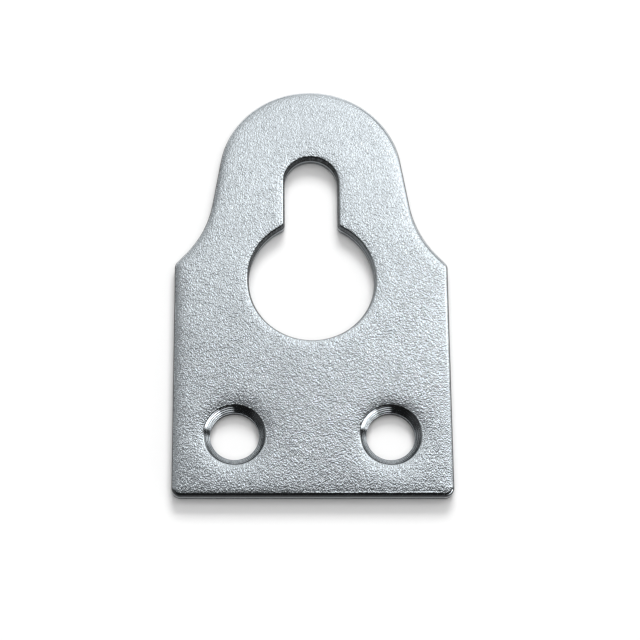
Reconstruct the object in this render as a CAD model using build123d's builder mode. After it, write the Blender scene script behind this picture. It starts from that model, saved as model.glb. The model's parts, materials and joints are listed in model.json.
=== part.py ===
"""Keyhole hanger plate: one flat piece stamped from zinc-plated sheet steel.

A rectangular body carries two countersunk screw holes. Hollow shoulders lead up
to a round head. The keyhole is an entry circle with a slot above it. It drops over
the head of a screw in the wall, and the plate then slides down until the shank
sits in the round end of the slot.

The plate lies on its back. X runs across it, Y runs up towards the head and Z
runs out of the countersunk face. The origin is at the middle of the back face.
"""

import os
from math import acos, atan2, degrees, hypot

from build123d import *

# Sheet, in millimetres like every length here
gauge = 1.6

# Outline. The shoulder corners stand above the foot by the shoulder height. The
# neck, where flank and shoulder would meet at a sharp corner, and the middle of
# the round head stand above the shoulder corners by their rise.
plate_width = 30.0
shoulder_height = 26.2
neck_width = 23.1
neck_rise = 3.7
head_rise = 10.7
head_radius = 10.2
hollow_radius = 11.6
shoulder_corner_radius = 0.9
foot_corner_radius = 1.0

# Keyhole: how far the slot's round end sits below the middle of the head, and how
# far the screw travels from the entry circle to reach it
slot_end_drop = 1.0
keyhole_travel = 11.5
slot_width = 6.0
entry_diameter = 13.9
throat_radius = 0.6

# Screw holes
screw_hole_diameter = 5.2
screw_hole_spacing = 16.7
screw_hole_height = 6.7
countersink_diameter = 6.5
countersink_angle = 90.0
countersink_rim_radius = 0.12

# Edges: rolled over on the face by the punch, slightly broken on the back
edge_roll_radius = 0.42
back_edge_break = 0.1

# Places that follow from the sizes
plate_length = shoulder_height + head_rise + head_radius
foot_y = -plate_length / 2
shoulder_corner = Vector(plate_width / 2, foot_y + shoulder_height)
neck_corner = Vector(neck_width / 2, shoulder_corner.Y + neck_rise)
head_centre = Vector(0, shoulder_corner.Y + head_rise)
slot_end_y = head_centre.Y - slot_end_drop
entry_y = slot_end_y - keyhole_travel
screw_hole_y = foot_y + screw_hole_height

# The flank runs from the neck corner to touch the head as a tangent, at this angle
# above the middle of the head.
neck_reach = neck_corner - head_centre
flank_angle = degrees(
    atan2(neck_reach.Y, neck_reach.X)
    + acos(head_radius / hypot(neck_reach.X, neck_reach.Y))
)

with BuildPart() as keyhole_plate:
    # Blank: the right half of its outline, mirrored
    with BuildSketch():
        with BuildLine():
            crown = CenterArc(head_centre, head_radius, 90, flank_angle - 90)
            Polyline(
                crown @ 1,
                neck_corner,
                shoulder_corner,
                (plate_width / 2, foot_y),
                (0, foot_y),
                crown @ 0,
            )
        make_face()
        neck = vertices().sort_by_distance(neck_corner)[0]
        fillet(neck, hollow_radius)
        shoulder = vertices().sort_by_distance(shoulder_corner)[0]
        fillet(shoulder, shoulder_corner_radius)
        foot = vertices().sort_by_distance((plate_width / 2, foot_y))[0]
        fillet(foot, foot_corner_radius)
        mirror(about=Plane.YZ)
    extrude(amount=gauge)

    # Keyhole, eased at the throat where the slot opens into the circle
    with BuildSketch():
        with Locations((0, entry_y)):
            Circle(entry_diameter / 2)
        with Locations((0, entry_y + keyhole_travel / 2)):
            SlotCenterToCenter(keyhole_travel, slot_width, rotation=90)
        throat = vertices().group_by(Axis.Y)[-2]
        fillet(throat, throat_radius)
    extrude(amount=gauge, mode=Mode.SUBTRACT)

    # The punch draws the face down along the outline and the keyhole
    fillet(faces().sort_by(Axis.Z)[-1].edges(), edge_roll_radius)

    # Screw holes, countersunk in the face, with their rims slightly rounded
    with Locations((0, screw_hole_y, gauge)):
        with GridLocations(screw_hole_spacing, 0, 2, 1):
            CounterSinkHole(
                screw_hole_diameter / 2,
                countersink_diameter / 2,
                counter_sink_angle=countersink_angle,
            )
    rims = edges(Select.LAST).group_by(Axis.Z)[-1]
    fillet(rims, countersink_rim_radius)

    # Every edge of the back is broken
    chamfer(faces().sort_by(Axis.Z)[0].edges(), back_edge_break)

keyhole_plate.part.label = "keyhole_plate"

os.makedirs("parts", exist_ok=True)
export_step(keyhole_plate.part, "parts/keyhole_plate.step")
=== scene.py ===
"""Keyhole hanger plate in zinc-plated steel, lying on a pale studio floor."""

import json
import math

import bpy
import numpy as np
from bpy.props import FloatProperty, FloatVectorProperty, PointerProperty
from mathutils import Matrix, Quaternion, Vector
from mathutils.geometry import delaunay_2d_cdt


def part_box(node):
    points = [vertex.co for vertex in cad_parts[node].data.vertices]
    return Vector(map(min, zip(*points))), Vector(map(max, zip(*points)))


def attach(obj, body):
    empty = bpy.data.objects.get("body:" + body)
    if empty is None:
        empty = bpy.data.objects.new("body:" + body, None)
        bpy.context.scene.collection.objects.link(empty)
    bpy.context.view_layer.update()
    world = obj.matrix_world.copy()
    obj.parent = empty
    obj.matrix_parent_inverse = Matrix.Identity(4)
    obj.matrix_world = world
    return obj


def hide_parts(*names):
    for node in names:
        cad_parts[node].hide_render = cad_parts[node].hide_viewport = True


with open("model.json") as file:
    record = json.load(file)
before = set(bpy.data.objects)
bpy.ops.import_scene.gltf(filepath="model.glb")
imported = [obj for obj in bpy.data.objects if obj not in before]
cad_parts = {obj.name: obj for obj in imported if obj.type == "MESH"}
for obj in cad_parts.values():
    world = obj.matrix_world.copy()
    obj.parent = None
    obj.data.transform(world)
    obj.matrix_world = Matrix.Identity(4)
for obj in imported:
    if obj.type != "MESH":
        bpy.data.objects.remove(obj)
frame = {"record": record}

bl_info = {
    "name": "Keyhole hanger plate",
    "version": (1, 0, 0),
    "blender": (4, 5, 0),
    "location": "3D View > Sidebar > Hanger plate",
    "description": "Makes a stamped keyhole hanger plate and the studio around it",
    "category": "Object",
}

MM = 0.001
PLATE_NODE = "keyhole_plate"
PLATE_LOW, PLATE_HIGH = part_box(PLATE_NODE)
MOUNTS = {mount["name"]: mount for mount in frame["record"]["mounts"]}
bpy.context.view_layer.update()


def length(name, description, default):
    """A length in metres that a user may change."""
    return FloatProperty(
        name=name, description=description, default=default, unit="LENGTH", precision=5
    )


class PlateSizes(bpy.types.PropertyGroup):
    """Sizes of the stamped plate."""

    width: length("Width", "Across the body", PLATE_HIGH.x - PLATE_LOW.x)
    height: length("Length", "From the foot to the crown", PLATE_HIGH.y - PLATE_LOW.y)
    gauge: length("Gauge", "Thickness of the sheet", PLATE_HIGH.z)
    head_radius: length("Head radius", "Radius of the round head", 0.0102)
    shoulder_height: length("Shoulder height", "Shoulder corners above the foot", 0.0262)
    neck_width: length("Neck width", "Across the corners behind the hollows", 0.0231)
    neck_rise: length("Neck rise", "Neck corners above the shoulders", 0.0037)
    hollow_radius: length("Hollow radius", "Radius of the hollow shoulders", 0.0116)
    shoulder_corner: length("Shoulder corner", "Radius of the shoulder corners", 0.0009)
    foot_corner: length("Foot corner", "Radius of the foot corners", 0.001)
    entry_radius: length(
        "Entry radius",
        "Radius of the keyhole's circle",
        MOUNTS["keyhole_entry"]["dims"]["r_mm"] * MM,
    )
    entry_height: length(
        "Entry place", "Middle of the circle", MOUNTS["keyhole_entry"]["pos_m"][1]
    )
    slot_end: length(
        "Slot end", "Middle of the slot's round end", MOUNTS["slot_end"]["pos_m"][1]
    )
    slot_width: length("Slot width", "Across the slot", 0.006)
    throat_radius: length("Throat radius", "Easing where slot meets circle", 0.0006)
    hole_radius: length(
        "Screw hole radius",
        "Radius of the bores",
        MOUNTS["screw_holes"]["dims"]["hole_r_mm"] * MM,
    )
    hole_spacing: length(
        "Screw hole spacing",
        "From one screw hole to the other",
        MOUNTS["screw_holes"]["dims"]["spacing_x_mm"] * MM,
    )
    hole_height: length(
        "Screw hole place", "Middle of the holes", MOUNTS["screw_holes"]["pos_m"][1]
    )
    countersink_radius: length("Countersink radius", "At the face", 0.00335)
    countersink_angle: FloatProperty(
        name="Countersink angle",
        description="Angle of the whole cone",
        default=math.radians(95),
        subtype="ANGLE",
    )
    blank_roll: length("Outer roll", "Rounding of the outer edge", 0.00042)
    foot_roll: length("Foot roll", "Rounding of the foot's edge", 0.00027)
    key_roll: length("Keyhole roll", "Rounding of the keyhole's edge", 0.00018)
    blank_sink: length("Outer sink", "How far the face sinks at the outline", 0.00014)
    key_sink: length("Keyhole sink", "How far the face sinks at the keyhole", 0.00006)
    edge_sink_reach: length("Edge sink reach", "How fast that fades inwards", 0.00039)
    side_sink: length("Side sink", "How far the body's long sides sink", 0.00007)
    side_sink_reach: length("Side sink reach", "How fast that fades inwards", 0.0016)
    foot_ridge: length("Foot ridge", "Height of the ridge right along the foot", 0.00002)
    hole_sink: length("Hole sink", "How far the face dips at a screw hole", 0.00009)
    hole_sink_reach: length("Hole sink reach", "How fast that fades outwards", 0.0007)
    rim_radius: length("Rim radius", "Rounding of the countersink's rim", 0.0002)


class ZincFinish(bpy.types.PropertyGroup):
    """Colour and texture of the zinc plating."""

    colour: FloatVectorProperty(
        name="Zinc",
        description="Colour of the bright zinc",
        default=(0.752, 0.812, 0.855),
        subtype="COLOR",
        size=3,
        min=0,
        max=1,
    )
    roughness: FloatProperty(
        name="Roughness", description="How soft reflections are", default=0.07, min=0, max=1
    )
    peel_depth: length("Peel depth", "Depth of the dimpled sheet texture", 0.000025)
    peel_size: length("Peel size", "Width of one dimple", 0.00015)


class StudioSettings(bpy.types.PropertyGroup):
    """Camera and light."""

    aim: FloatVectorProperty(
        name="Aim",
        description="Point that the camera looks at",
        default=(0.000866, -0.003897, 0.0016),
        subtype="TRANSLATION",
        unit="LENGTH",
        size=3,
        precision=5,
    )
    distance: length("Distance", "From the aim to the camera", 0.22528)
    elevation: FloatProperty(
        name="Elevation",
        description="Camera's angle above the floor",
        default=math.radians(70.318),
        subtype="ANGLE",
    )
    azimuth: FloatProperty(
        name="Azimuth",
        description="Camera's turn from the foot of the plate",
        default=math.radians(-5.730),
        subtype="ANGLE",
    )
    roll: FloatProperty(
        name="Roll",
        description="Camera's turn about its own line of sight",
        default=math.radians(5.558),
        subtype="ANGLE",
    )
    lens: FloatProperty(
        name="Lens", description="Focal length in millimetres", default=116.59, min=1
    )
    floor: FloatVectorProperty(
        name="Floor",
        description="Colour of the floor",
        default=(0.9, 0.9, 0.9),
        subtype="COLOR",
        size=3,
        min=0,
        max=1,
    )


# ---------------------------------------------------------------- outlines


def trace(start, heading, moves, step):
    """Walks straight runs, as (length,), and tangent arcs, as (radius, degrees turned
    to the left), with the metal on the left. Gives the points passed and the way out
    of the metal at each."""
    place = np.array(start, float)
    heading = math.radians(heading)
    points, headings = [], []
    for move in moves:
        if len(move) == 1:
            count = max(1, round(move[0] / step))
            way = np.array([math.cos(heading), math.sin(heading)])
            for part in range(count):
                points.append(place + way * move[0] * part / count)
                headings.append(heading)
            place = place + way * move[0]
            continue
        radius, turn = move[0], math.radians(move[1])
        side = math.copysign(1, turn)
        centre = place + side * radius * np.array([-math.sin(heading), math.cos(heading)])
        count = max(3, math.ceil(max(abs(turn) * radius / step, abs(move[1]) / 7)))
        for part in range(count):
            angle = heading + turn * part / count
            left = np.array([-math.sin(angle), math.cos(angle)])
            points.append(centre - side * radius * left)
            headings.append(angle)
        heading += turn
        left = np.array([-math.sin(heading), math.cos(heading)])
        place = centre - side * radius * left
    headings = np.array(headings)
    return np.array(points), np.stack([np.sin(headings), -np.cos(headings)], 1)


def blank_outline(size, step):
    """The outside edge, anticlockwise from the middle of the foot, in millimetres."""
    half, foot = size["width"] / 2, -size["height"] / 2
    shoulder = foot + size["shoulder_height"]
    head = foot + size["height"] - size["head_radius"]
    neck = np.array([size["neck_width"] / 2, shoulder + size["neck_rise"]])
    reach = neck - [0, head]
    far = math.hypot(*reach)
    touch = math.atan2(reach[1], reach[0]) + math.acos(size["head_radius"] / far)
    flank_lean = math.degrees(touch)
    flank_run = math.sqrt(far**2 - size["head_radius"] ** 2)
    step_out = np.array([half, shoulder]) - neck
    shoulder_lean = math.degrees(math.atan2(step_out[0], -step_out[1]))
    shoulder_run = math.hypot(*step_out)

    def cut(radius, turn):
        return radius * math.tan(math.radians(abs(turn)) / 2)

    hollow_turn = flank_lean - shoulder_lean
    at_hollow = cut(size["hollow_radius"], hollow_turn)
    at_shoulder = cut(size["shoulder_corner"], shoulder_lean)
    side = [
        (half - size["foot_corner"],),
        (size["foot_corner"], 90),
        (size["shoulder_height"] - size["foot_corner"] - at_shoulder,),
        (size["shoulder_corner"], shoulder_lean),
        (shoulder_run - at_shoulder - at_hollow,),
        (size["hollow_radius"], hollow_turn),
        (flank_run - at_hollow,),
    ]
    crown = (size["head_radius"], 180 - 2 * flank_lean)
    return trace((0, foot), 0, side + [crown] + side[::-1], step)


def keyhole_outline(size, step):
    """The keyhole's edge, clockwise from the foot of the slot's left side."""
    ease, entry, half = size["throat_radius"], size["entry_radius"], size["slot_width"] / 2
    lean = math.acos((half + ease) / (entry + ease))
    throat = size["entry_height"] + (entry + ease) * math.sin(lean)
    lean = math.degrees(lean)
    side = (size["slot_end"] - throat,)
    moves = [side, (half, -180), side, (ease, lean), (entry, -180 - 2 * lean), (ease, lean)]
    return trace((-half, throat), 90, moves, step)


def hole_ring(centre, radius, count):
    """A circle round a screw hole's middle, clockwise."""
    angle = np.linspace(math.pi, -math.pi, count, endpoint=False)
    return centre + radius * np.stack([np.cos(angle), np.sin(angle)], 1)


def distance_to(points, line):
    """From each point to the nearest point of a closed line."""
    following = np.roll(line, -1, 0)
    nearest = np.full(len(points), 1e9)
    for first in range(0, len(points), 2000):
        block = points[first : first + 2000, None]
        run = following - line
        along = ((block - line) * run).sum(2) / (run**2).sum(1)
        foot = line + np.clip(along, 0, 1)[..., None] * run
        gap = np.sqrt(((block - foot) ** 2).sum(2)).min(1)
        nearest[first : first + 2000] = gap
    return nearest


def within(points, line):
    """True for each point inside a closed line."""
    x, y = points[:, :1], points[:, 1:]
    x0, y0 = line[:, 0], line[:, 1]
    x1, y1 = np.roll(x0, -1), np.roll(y0, -1)
    spans = (y0 > y) != (y1 > y)
    rise = np.where(y1 == y0, 1, y1 - y0)
    crosses = x < x0 + (y - y0) * (x1 - x0) / rise
    return (spans & crosses).sum(1) % 2 == 1


# ---------------------------------------------------------------- plate mesh


class Shell:
    """Collects the plate's vertices and faces, in millimetres."""

    def __init__(self):
        self.vertices = np.zeros((0, 3))
        self.faces = []
        self.zones = []

    def add(self, points, heights):
        """Adds a set of vertices and gives their numbers."""
        first = len(self.vertices)
        heights = np.broadcast_to(heights, (len(points),))
        self.vertices = np.vstack([self.vertices, np.column_stack([points, heights])])
        return np.arange(first, first + len(points))

    def band(self, low, high, zone):
        """Joins two rings of a loop that keeps the metal on its left."""
        for a, b, c, d in zip(low, np.roll(low, -1), np.roll(high, -1), high):
            self.faces.append((a, b, c, d))
            self.zones.append(zone)

    def sheet(self, loops, loose, zone, up):
        """Fills the metal between the first loop and the others, through the loose
        vertices."""
        numbers = np.concatenate([*loops, loose]).astype(int)
        flat = self.vertices[numbers, :2]
        edges, first = [], 0
        for loop in loops:
            count = len(loop)
            edges += [(first + i, first + (i + 1) % count) for i in range(count)]
            first += count
        found = delaunay_2d_cdt([Vector(p) for p in flat], edges, [], 0, 1e-7, True)
        place = np.array([list(v) for v in found[0]])
        source = [numbers[names[0]] for names in found[3]]
        triangles = np.array(found[2])
        a, b, c = (place[triangles[:, i]] for i in range(3))
        middle = (a + b + c) / 3
        keep = within(middle, self.vertices[loops[0], :2])
        for loop in loops[1:]:
            keep &= ~within(middle, self.vertices[loop, :2])
        turn = np.cross(b - a, c - a)
        for triangle, kept, side in zip(triangles, keep, turn):
            if not kept:
                continue
            corners = [source[i] for i in triangle]
            if (side > 0) != up:
                corners.reverse()
            self.faces.append(tuple(corners))
            self.zones.append(zone)


# Steps of the sheared walls from the back up: how far back from the outline, how high,
# and the zone that ends there. The blank was cut from the face and tears near the back.
# The keyhole was cut from the back and tears near the face.
BLANK_WALL = (
    (0.08, 0.0, "face"),
    (0.035, 0.02, "torn"),
    (0.02, 0.06, "torn"),
    (0.02, 0.2, "torn"),
    (0.012, 0.35, "torn"),
    (0.004, 0.44, "torn"),
    (0.0, 0.48, "torn"),
    (0.0, 0.6, "wall"),
    (0.0, 0.8, "wall"),
)
KEY_WALL = (
    (0.04, 0.0, "face"),
    (-0.04, 0.02, "wall"),
    (-0.07, 0.08, "wall"),
    (-0.08, 0.3, "wall"),
    (-0.08, 0.6, "wall"),
    (-0.075, 0.85, "wall"),
    (-0.06, 0.97, "wall"),
    (-0.02, 1.03, "torn"),
    (0.0, 1.15, "torn"),
    (0.02, 1.26, "torn"),
    (0.04, 1.36, "torn"),
)
# Steps of a screw hole's bore: how far outside the bore, and how high
BORE_STEPS = ((0.12, 0), (0.07, 0.025), (0.035, 0.08), (0.02, 0.2), (0, 0.4))

BACK_STRIP = 0.4  # width of the ring round each edge of the back
# Past this steepness the roll takes the near-black finish of its wall: painted shade along
# the steep edge.
WALL_LEAN = 35  # degrees of the roll above which it counts as wall
CONE_STEPS = 40
CONE_TURNS = 4  # tool marks down the countersink
CONE_RIPPLE = 0.006  # height of a tool mark
SWELL = 0.006  # unevenness of the rolled sheet


def fade(value, middle, spread):
    """Falls smoothly from 1 to 0 round a middle."""
    return 1 / (1 + np.exp((value - middle) / spread))


class PlateForm:
    """The plate's surface: face drawn down at its edges, rolled edges, sheared walls,
    turned countersinks and plain back."""

    def __init__(self, size):
        self.size = size
        self.shell = Shell()
        self.fine_blank = blank_outline(size, 0.1)[0]
        self.fine_key = keyhole_outline(size, 0.08)[0]
        sides = (-size["hole_spacing"] / 2, size["hole_spacing"] / 2)
        self.centres = [np.array([side, size["hole_height"]]) for side in sides]
        # The outline's rings reach this much further in than the keyhole's
        self.outer_shift = size["blank_roll"] + 0.34 - 0.55
        self.face_loops, self.back_loops = [], []
        self.edges()
        for centre in self.centres:
            self.screw_hole(centre)
        self.sheets()

    def face_height(self, points):
        """Height of the face before the tight roll at its edges."""
        size = self.size
        x, y = points.T
        foot_gap = y + size["height"] / 2
        shoulder = size["shoulder_height"] - size["height"] / 2
        height = np.full(len(points), size["gauge"])
        # Down towards the outline, less so at the foot, and towards the keyhole
        outer_sink = size["blank_sink"] * (1 - 0.45 * fade(foot_gap, 1.0, 0.15))
        sinks = ((self.fine_blank, outer_sink), (self.fine_key, size["key_sink"]))
        for line, sink in sinks:
            gap = distance_to(points, line)
            height -= sink * np.exp(-gap / size["edge_sink_reach"])
        # Down towards the long sides, below the shoulders
        side_gap = size["width"] / 2 - np.abs(x)
        body = fade(y, shoulder - 1.5, 0.7)
        height -= body * size["side_sink"] * np.exp(-side_gap / size["side_sink_reach"])
        # Down towards the screw holes
        for centre in self.centres:
            gap = np.hypot(*(points - centre).T) - size["countersink_radius"]
            reach = size["hole_sink_reach"]
            height -= size["hole_sink"] * np.exp(-np.maximum(gap, 0) / reach)
        # A ridge behind the foot's roll, on the right
        ridge = np.exp(-(((foot_gap - 0.31) / 0.075) ** 2))
        height += size["foot_ridge"] * ridge * (1 - fade(x, -1, 0.8)) * fade(x, 13.4, 0.15)
        # Unevenness of the sheet, never above the gauge
        swell = np.sin(0.31 * x + 0.23 * y + 0.6) + 0.7 * np.sin(0.47 * y - 0.38 * x + 2.1)
        swell += 0.45 * np.sin(0.83 * x + 0.71 * y) * np.sin(0.66 * y - 0.3 * x + 1.0)
        return height - SWELL * (swell + 1 + 0.7 + 0.45)

    def join(self, rings):
        """Joins rings into bands, each in the zone of its upper ring."""
        for (low, _), (high, zone) in zip(rings, rings[1:]):
            self.shell.band(low, high, zone)
        self.back_loops.append(rings[0][0])
        self.face_loops.append(rings[-1][0])

    def edges(self):
        """The walls and rolled edges of the outline and the keyhole."""
        size = self.size
        line, out = blank_outline(size, 0.3)
        foot_side = np.clip(-out[:, 1:], 0, 1) ** 2
        radius = size["blank_roll"] + (size["foot_roll"] - size["blank_roll"]) * foot_side
        self.edge(line, out, BLANK_WALL, radius, 90, 0.0, np.arange(0.06, 0.36, 0.07))
        line, out = keyhole_outline(size, 0.25)
        radius = np.full((len(line), 1), size["key_roll"])
        self.edge(line, out, KEY_WALL, radius, 65, 0.07, (0.06, 0.13))

    def edge(self, line, out, wall, radius, steepest, start, beyond):
        """One wall and its rolled edge. The roll begins that many degrees steep, start
        back from the outline, and the face goes on by the steps beyond it."""
        rings = [(self.shell.add(line - out * BACK_STRIP, 0), "face")]
        for inset, height, zone in wall:
            rings.append((self.shell.add(line - out * inset, height), zone))
        roll = start + radius * math.sin(math.radians(steepest))
        for degrees in np.linspace(steepest, 0, 10):
            angle = math.radians(degrees)
            points = line - out * (roll - radius * math.sin(angle))
            height = self.face_height(points) - radius[:, 0] * (1 - math.cos(angle))
            zone = wall[-1][2] if degrees > WALL_LEAN else "rolled"
            rings.append((self.shell.add(points, height), zone))
        for more in beyond:
            points = line - out * (roll + more)
            rings.append((self.shell.add(points, self.face_height(points)), "face"))
        self.join(rings)

    def screw_hole(self, centre):
        """A bore, its turned cone and the cone's rounded rim."""
        size = self.size
        half_angle = size["countersink_angle"] / 2
        bore, round_over = size["hole_radius"], size["rim_radius"]
        cone_lean = math.pi / 2 - half_angle
        lip = size["gauge"] - size["hole_sink"]
        lip_lean = math.atan(size["hole_sink"] / size["hole_sink_reach"])
        rim_run = round_over * (math.sin(cone_lean) - math.sin(lip_lean))
        rim_fall = round_over * (math.cos(lip_lean) - math.cos(cone_lean))
        cone_top = size["countersink_radius"] - rim_run * 0.5
        cone_rise = (cone_top - bore) / math.tan(half_angle)
        throat = lip - rim_fall - cone_rise
        rings = []

        def ring(radius, height, zone):
            points = hole_ring(centre, radius, 128)
            if height is None:
                height = self.face_height(points)
            rings.append((self.shell.add(points, height), zone))

        ring(bore + BACK_STRIP, 0, "face")
        for more, height in BORE_STEPS:
            ring(bore + more, height, "torn" if height else "face")
        for height in np.linspace(BORE_STEPS[-1][1], throat - 0.02, 5)[1:]:
            ring(bore, height, "torn")
        cone_start = bore + 0.006
        for i in range(CONE_STEPS + 1):
            part = i / CONE_STEPS
            wave = math.sin(part * CONE_TURNS * 2 * math.pi)
            ripple = CONE_RIPPLE * wave * (1 - part**3)
            radius = cone_start + (cone_top - cone_start) * part
            height = throat + cone_rise * part + ripple * math.sin(half_angle)
            ring(radius - ripple * math.cos(half_angle), height, "turned")
        for part in (0.2, 0.4, 0.6, 0.8, 1.0):
            angle = cone_lean + (lip_lean - cone_lean) * part
            radius = cone_top + round_over * (math.sin(cone_lean) - math.sin(angle))
            rise = round_over * (math.cos(angle) - math.cos(cone_lean))
            ring(radius, lip - rim_fall + rise, "rolled")
        for more in (0.07, 0.16, 0.26):
            ring(cone_top + rim_run + more, None, "face")
        self.join(rings)

    def fits(self, points, line_gap, hole_gap):
        """Keeps the points that are at least so far from every edge."""
        keep = within(points, self.fine_blank) & ~within(points, self.fine_key)
        keep &= distance_to(points, self.fine_blank) > line_gap + self.outer_shift
        keep &= distance_to(points, self.fine_key) > line_gap
        for centre in self.centres:
            gap = np.hypot(*(points - centre).T) - self.size["countersink_radius"]
            keep &= gap > hole_gap
        return points[keep]

    def field(self, pitch, row, line_gap, hole_gap, stagger):
        """An even field of points, in rows so far apart."""
        across = np.arange(-self.size["width"] / 2, self.size["width"] / 2, pitch)
        up = np.arange(-self.size["height"] / 2, self.size["height"] / 2, row)
        x, y = np.meshgrid(across, up)
        x[1::2] += stagger
        return self.fits(np.column_stack([x.ravel(), y.ravel()]), line_gap, hole_gap)

    def sheets(self):
        """The face, with points in lines along its edges and an even field, and the
        back."""
        size = self.size
        loose = []
        outlines = ((blank_outline, self.outer_shift), (keyhole_outline, 0))
        for inset in (0.66, 0.86, 1.12, 1.45, 1.85):
            spread = 0.2 + 0.12 * inset
            for outline, shift in outlines:
                line, out = outline(size, spread)
                points = line - out * (inset + shift)
                loose.append(self.fits(points, inset - 0.01, inset * 0.7))
            for centre in self.centres:
                radius = size["countersink_radius"] + inset - 0.3
                count = round(2 * math.pi * radius / spread)
                points = hole_ring(centre, radius, count)
                loose.append(self.fits(points, 0.6 * inset + 0.5, inset - 0.31))
        pitch = 0.45
        loose.append(self.field(pitch, pitch * 0.866, 2.1, 1.8, pitch / 2))
        loose = np.vstack(loose)
        # One point in each small square, so that no two crowd
        squares = np.round(loose / 0.12).astype(int)
        _, chosen = np.unique(squares, axis=0, return_index=True)
        loose = loose[np.sort(chosen)]
        numbers = self.shell.add(loose, self.face_height(loose))
        self.shell.sheet(self.face_loops, numbers, "face", True)
        plain = self.field(1.1, 1.1, 0.9, 0.6, 0)
        self.shell.sheet(self.back_loops, self.shell.add(plain, 0), "face", False)


# ---------------------------------------------------------------- finishes


class Value:
    """One number that varies over a surface. Python's own operators add Math nodes."""

    def __init__(self, nodes, socket):
        self.nodes = nodes
        self.socket = socket

    def maths(self, operation, *values):
        """Adds a Math node over the values."""
        settings = {"operation": operation}
        return self.nodes.node("Math", settings, dict(enumerate(values)))

    def __add__(self, other):
        return self.maths("ADD", self, other)

    def __sub__(self, other):
        return self.maths("SUBTRACT", self, other)

    def __rsub__(self, other):
        return self.maths("SUBTRACT", other, self)

    def __mul__(self, other):
        return self.maths("MULTIPLY", self, other)

    __radd__ = __add__
    __rmul__ = __mul__

    def between(self, low, high):
        """0 up to low, 1 from high, and a smooth rise from one to the other."""
        inputs = {"Value": self, "From Min": low, "From Max": high}
        return self.nodes.node("MapRange", {"interpolation_type": "SMOOTHSTEP"}, inputs)


class Nodes:
    """Builds a node tree."""

    def __init__(self, tree):
        self.tree = tree
        self.tree.nodes.clear()

    def node(self, kind, settings, inputs, output=0):
        """Adds a node: its settings first, then values or links for its inputs."""
        node = self.tree.nodes.new("ShaderNode" + kind)
        for name, setting in settings.items():
            setattr(node, name, setting)
        for name, value in inputs.items():
            if isinstance(value, Value):
                self.tree.links.new(value.socket, node.inputs[name])
            else:
                node.inputs[name].default_value = value
        return Value(self, node.outputs[output]) if node.outputs else None


class Finish(Nodes):
    """A material that is built from nodes."""

    def __init__(self, name):
        self.material = bpy.data.materials.new(name)
        self.material.use_nodes = True
        super().__init__(self.material.node_tree)

    def place(self, stretch=(1, 1, 1)):
        """Where a point is on the plate, in millimetres, stretched along the axes."""
        where = self.node("TexCoord", {}, {}, "Object")
        scale = tuple(1 / MM / part for part in stretch)
        return self.node("VectorMath", {"operation": "MULTIPLY"}, {0: where, 1: scale})

    def axis(self, number):
        """Where a point is along X, Y or Z, in millimetres."""
        return self.node("SeparateXYZ", {}, {"Vector": self.place()}, number)

    def noise(self, place, size, detail=2.0, rough=0.5):
        """A noise whose lumps are about that many millimetres across."""
        inputs = {"Vector": place, "Scale": 1 / size, "Detail": detail, "Roughness": rough}
        return self.node("TexNoise", {}, inputs)

    def blend(self, share, first, second):
        """A colour between two others."""
        settings = {"data_type": "RGBA"}
        return self.node("Mix", settings, {0: share, 6: first, 7: second}, 2)

    def metal(self, colour, roughness, relief, depth):
        """Closes the material with bright metal under a relief of a depth in metres."""
        inputs = {"Strength": 1.0, "Distance": depth, "Height": relief}
        normal = self.node("Bump", {}, inputs)
        inputs = {
            "Base Color": colour,
            "Metallic": 1.0,
            "Roughness": roughness,
            "Normal": normal,
        }
        shader = self.node("BsdfPrincipled", {}, inputs)
        self.node("OutputMaterial", {}, {"Surface": shader})
        return self.material


def shade(colour, share):
    """The colour made lighter or darker, with full opacity."""
    return tuple(min(1.0, part * share) for part in colour) + (1.0,)


def face_finish(zinc, name, depth):
    """Zinc over sheet that keeps its fine dimples, at the given share of their depth,
    with darker and stronger specks towards the foot: painted shade in place of the
    relief's reflections there."""
    finish = Finish(name)
    dimples = finish.noise(finish.place((0.6, 1, 1)), zinc.peel_size / MM, 0.0)
    grains = finish.noise(finish.place(), 0.07, 1.0, 0.6)
    specks = finish.noise(finish.place(), 0.1)
    clouds = finish.noise(finish.place(), 5.0, 3.0, 0.55)
    dents = finish.noise(finish.place(), 0.8, 1.0, 0.5)
    # Painted shade: the specks grow darker and stronger towards the foot.
    painted_foot_shade = 1 - finish.axis(1).between(-16, 20)
    dark = finish.blend(painted_foot_shade, shade(zinc.colour, 0.85), shade(zinc.colour, 0.76))
    light = finish.blend(painted_foot_shade, shade(zinc.colour, 1.13), shade(zinc.colour, 1.16))
    share = specks.between(0.32, 0.68) * 0.85 + clouds.between(0.3, 0.7) * 0.15
    colour = finish.blend(share, dark, light)
    roughness = zinc.roughness + (clouds - 0.5) * 0.04 + (grains - 0.5) * 0.06
    relief = dimples + dents * 0.4
    return finish.metal(colour, roughness, relief, zinc.peel_depth * depth)


def wall_finish(zinc):
    """Zinc over the sheared wall, drawn smooth in upright streaks, with painted highlights
    at the back of the keyhole, along a lip half way up, at the bottom of the foot and at
    the top of the head, and painted shade, near black, elsewhere."""
    finish = Finish("zinc_over_sheared_edge")
    streaks = finish.noise(finish.place((0.35, 0.35, 3.0)), 0.35, 3.0, 0.6)
    tears = finish.noise(finish.place(), 0.14, 4.0, 0.65)
    along, up = finish.axis(1), finish.axis(2)
    # Painted highlights in place of the floor's reflections: low, lip, foot and head. The
    # dark end of the blend is painted shade.
    low = (1 - up.between(0.3, 0.45)) * 0.5
    lip = up.between(0.5, 0.6) * (1 - up.between(0.82, 0.9)) * 0.75
    foot = (1 - along.between(-23.2, -22.0)) * (1 - up.between(0.8, 0.88)) * 0.6
    head = along.between(14, 21) * up.between(1.1, 1.2) * 0.5
    share = streaks * 0.08 + low + lip + foot + head
    colour = finish.blend(share, shade(zinc.colour, 0.015), shade(zinc.colour, 0.72))
    relief = streaks * 0.6 + tears * 0.4
    return finish.metal(colour, 0.3 + (tears - 0.5) * 0.25, relief, zinc.peel_depth)


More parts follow.
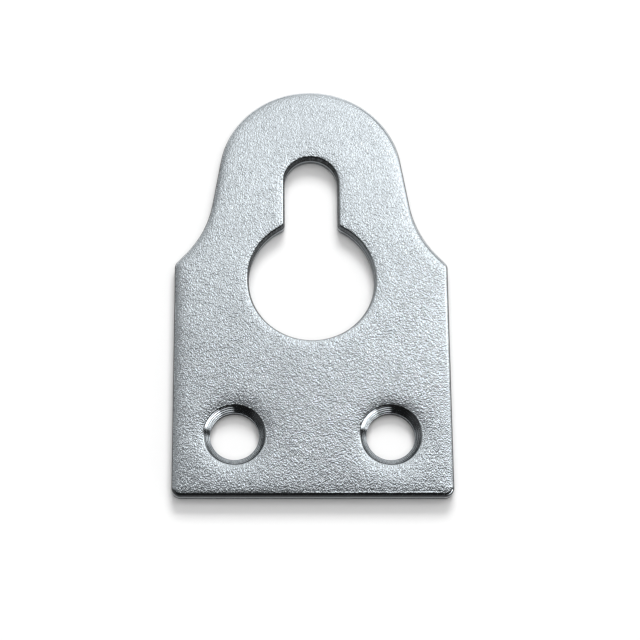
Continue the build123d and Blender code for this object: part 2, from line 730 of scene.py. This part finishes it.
def torn_finish(zinc):
    """Thin zinc over the torn part of the sheared wall: dark, partly the torn metal's own
    dullness and partly painted shade, with painted shade between its crumbs and a painted
    highlight on the right, above the screw holes."""
    finish = Finish("zinc_over_torn_edge")
    crumbs = finish.noise(finish.place(), 0.12, 3.0, 0.65)
    runs = finish.noise(finish.place((1, 1, 2.5)), 0.3, 2.0, 0.5)
    # Painted shade: darker where the crumbs sink, lighter on their tops.
    bright = (crumbs * 0.7 + runs * 0.3).between(0.42, 0.72)
    # Painted highlight: a lighter patch on the right, above the screw holes.
    painted_highlight_patch = finish.axis(0).between(2.0, 6.5) * finish.axis(1).between(-9, -7)
    share = bright * 0.6 + painted_highlight_patch * 0.6
    colour = finish.blend(share, shade(zinc.colour, 0.03), shade(zinc.colour, 0.4))
    return finish.metal(colour, 0.42, crumbs, 0.00006)


def turned_finish(zinc):
    """Zinc over the drilled bore and the turned countersink."""
    finish = Finish("zinc_over_turned_hole")
    rings = finish.noise(finish.place((8.0, 8.0, 1.0)), 0.06, 2.0, 0.5)
    chatter = finish.noise(finish.place(), 0.5, 2.0, 0.5)
    relief = rings * 0.12 + chatter * 0.2
    colour = finish.blend(chatter, shade(zinc.colour, 0.78), shade(zinc.colour, 0.95))
    roughness = 0.13 + (chatter - 0.5) * 0.06
    return finish.metal(colour, roughness, relief, zinc.peel_depth)


# ---------------------------------------------------------------- operators


class MakeHangerPlate(bpy.types.Operator):
    """Makes the stamped plate with its zinc finish"""

    bl_idname = "hanger.make_plate"
    bl_label = "Make the plate"

    def execute(self, context):
        settings = context.scene.hanger_plate
        size = {name: getattr(settings, name) / MM for name in settings.__annotations__}
        size["countersink_angle"] = settings.countersink_angle
        shell = PlateForm(size).shell
        mesh = bpy.data.meshes.new("hanger_plate")
        mesh.from_pydata(shell.vertices * MM, [], shell.faces)
        if mesh.validate():
            raise RuntimeError("the plate's mesh has faults")
        zinc = context.scene.hanger_finish
        zones = ["face", "rolled", "wall", "torn", "turned"]
        mesh.materials.append(face_finish(zinc, "zinc_over_sheet", 1.0))
        mesh.materials.append(face_finish(zinc, "zinc_over_rolled_edge", 0.3))
        for finish in (wall_finish, torn_finish, turned_finish):
            mesh.materials.append(finish(zinc))
        mesh.polygons.foreach_set("material_index", [zones.index(z) for z in shell.zones])
        mesh.shade_smooth()
        plate = bpy.data.objects.new("hanger_plate", mesh)
        context.scene.collection.objects.link(plate)
        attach(plate, "root")
        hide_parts(PLATE_NODE)
        return {"FINISHED"}


def softbox(scene, name, zenith, azimuth, distance, size, brightness):
    """A rectangular light that faces the plate. Its direction is given in degrees from
    straight up, and round from the head of the plate towards its right side. The metal
    mirrors the room instead of it."""
    light = bpy.data.lights.new(name, "AREA")
    light.shape = "RECTANGLE"
    light.size, light.size_y = size
    light.energy = brightness * math.pi * size[0] * size[1]
    holder = bpy.data.objects.new(name, light)
    tilt, turn = math.radians(zenith), math.radians(azimuth)
    way = Vector(
        (math.sin(tilt) * math.sin(turn), math.sin(tilt) * math.cos(turn), math.cos(tilt))
    )
    holder.location = way * distance
    holder.rotation_mode = "QUATERNION"
    holder.rotation_quaternion = way.to_track_quat("Z", "Y")
    holder.visible_glossy = False
    scene.collection.objects.link(holder)


class MakeStudio(bpy.types.Operator):
    """Makes the floor, the lights, the surroundings and the camera"""

    bl_idname = "hanger.make_studio"
    bl_label = "Make the studio"

    def execute(self, context):
        scene = context.scene
        studio = scene.hanger_studio
        self.floor(scene, studio)
        softbox(scene, "floor_light", 54, 6, 0.8, (0.42, 0.26), 15.8)
        softbox(scene, "overhead_light", 6, 180, 0.9, (1.3, 1.3), 1.08)
        self.surroundings(scene)
        self.camera(scene, studio)
        scene.view_settings.view_transform = "Standard"
        return {"FINISHED"}

    def floor(self, scene, studio):
        """A sheet of pale matt paper."""
        mesh = bpy.data.meshes.new("floor")
        reach = 4.0
        ways = ((-1, -1), (1, -1), (1, 1), (-1, 1))
        corners = [(x * reach, y * reach, 0) for x, y in ways]
        mesh.from_pydata(corners, [], [(0, 1, 2, 3)])
        finish = Finish("floor_paper")
        grain = finish.noise(finish.place(), 0.8, 2.0, 0.5)
        dark, light = shade(studio.floor, 0.985), shade(studio.floor, 1.0)
        paper = {"Base Color": finish.blend(grain, dark, light), "Roughness": 0.9}
        shader = finish.node("BsdfPrincipled", {}, paper)
        finish.node("OutputMaterial", {}, {"Surface": shader})
        mesh.materials.append(finish.material)
        floor = bpy.data.objects.new("floor", mesh)
        scene.collection.objects.link(floor)

    def surroundings(self, scene):
        """The room that the metal mirrors, by direction: X to the right of the plate, Y
        to its head, Z up. A wide soft panel over the head, a grey side on the left, and
        low bright cards on the right and beyond the foot."""
        world = bpy.data.worlds.new("studio_room")
        world.use_nodes = True
        room = Nodes(world.node_tree)
        way = room.node("TexCoord", {}, {}, "Generated")
        x, y, z = (room.node("SeparateXYZ", {}, {"Vector": way}, i) for i in range(3))

        def nearness(degrees):
            """How near a direction is to a point on the horizon, which is given in
            degrees from the head towards the right."""
            turn = math.radians(degrees)
            inputs = {0: way, 1: (math.sin(turn), math.cos(turn), 0)}
            return room.node("VectorMath", {"operation": "DOT_PRODUCT"}, inputs, "Value")

        on_right = x.between(-0.19, 0.01)
        panel = y.between(0.178, 0.37) * (0.98 + x.between(0.05, 0.26) * 0.34)
        beyond_head = y.between(0.44, 0.66) * (0.4 + x.between(0.1, 0.4) * 0.35)
        panel = panel * (1 - beyond_head) + y.between(-0.25, 0.1) * 0.05
        middle = y.between(0.28, 0.35) * (1 - y.between(0.38, 0.46))
        low_right = x.between(0.72, 0.96) * (1 - z.between(0.12, 0.3))
        panel = panel * (1 + middle * 0.3) * on_right * (1 - low_right * 0.9)
        grey_side = (0.3 + y.between(0.45, 0.7) * 0.3) * y.between(-0.1, 0.25)
        grey_side = (1 - on_right) * grey_side * z.between(0.05, 0.45)
        far_left = (1 - x.between(-0.9, -0.6)) * 0.04
        card = nearness(115).between(0.86, 0.9) * (1 - z.between(0.26, 0.34)) * 2.9
        foot_card = nearness(160).between(0.93, 0.96) * (1 - z.between(0.2, 0.35)) * 1.1
        glow = 0.01 + panel + grey_side + far_left + card + foot_card
        seen = room.node("LightPath", {}, {}, "Is Camera Ray")
        strength = glow * (1 - seen) + seen * 0.95
        inputs = {"Color": (1.0, 1.0, 1.0, 1.0), "Strength": strength}
        shader = room.node("Background", {}, inputs)
        room.node("OutputWorld", {}, {"Surface": shader})
        scene.world = world

    def camera(self, scene, studio):
        """The camera, placed round its aim."""
        lens = bpy.data.cameras.new("camera")
        lens.lens = studio.lens
        lens.sensor_width = 36
        lens.clip_start, lens.clip_end = 0.01, 20
        camera = bpy.data.objects.new("camera", lens)
        tilt, turn = studio.elevation, studio.azimuth
        level_way = Vector((math.sin(turn), -math.cos(turn), 0))
        back = level_way * math.cos(tilt) + Vector((0, 0, math.sin(tilt)))
        camera.location = Vector(studio.aim) + back * studio.distance
        camera.rotation_mode = "QUATERNION"
        level = back.to_track_quat("Z", "Y")
        camera.rotation_quaternion = level @ Quaternion((0, 0, 1), studio.roll)
        scene.collection.objects.link(camera)
        scene.camera = camera


class HangerPanel(bpy.types.Panel):
    """Sidebar panel for the hanger plate"""

    bl_idname = "VIEW3D_PT_hanger_plate"
    bl_label = "Hanger plate"
    bl_space_type = "VIEW_3D"
    bl_region_type = "UI"
    bl_category = "Hanger plate"

    def draw(self, context):
        for group in ("hanger_plate", "hanger_finish", "hanger_studio"):
            settings = getattr(context.scene, group)
            box = self.layout.box()
            for name in settings.__annotations__:
                box.prop(settings, name)
        self.layout.operator(MakeHangerPlate.bl_idname)
        self.layout.operator(MakeStudio.bl_idname)


CLASSES = (
    PlateSizes,
    ZincFinish,
    StudioSettings,
    MakeHangerPlate,
    MakeStudio,
    HangerPanel,
)


def register():
    for cls in CLASSES:
        bpy.utils.register_class(cls)
    bpy.types.Scene.hanger_plate = PointerProperty(type=PlateSizes)
    bpy.types.Scene.hanger_finish = PointerProperty(type=ZincFinish)
    bpy.types.Scene.hanger_studio = PointerProperty(type=StudioSettings)


def unregister():
    del bpy.types.Scene.hanger_studio
    del bpy.types.Scene.hanger_finish
    del bpy.types.Scene.hanger_plate
    for cls in reversed(CLASSES):
        bpy.utils.unregister_class(cls)


def main():
    register()
    bpy.ops.hanger.make_plate()
    bpy.ops.hanger.make_studio()


if __name__ == "__main__":
    main()
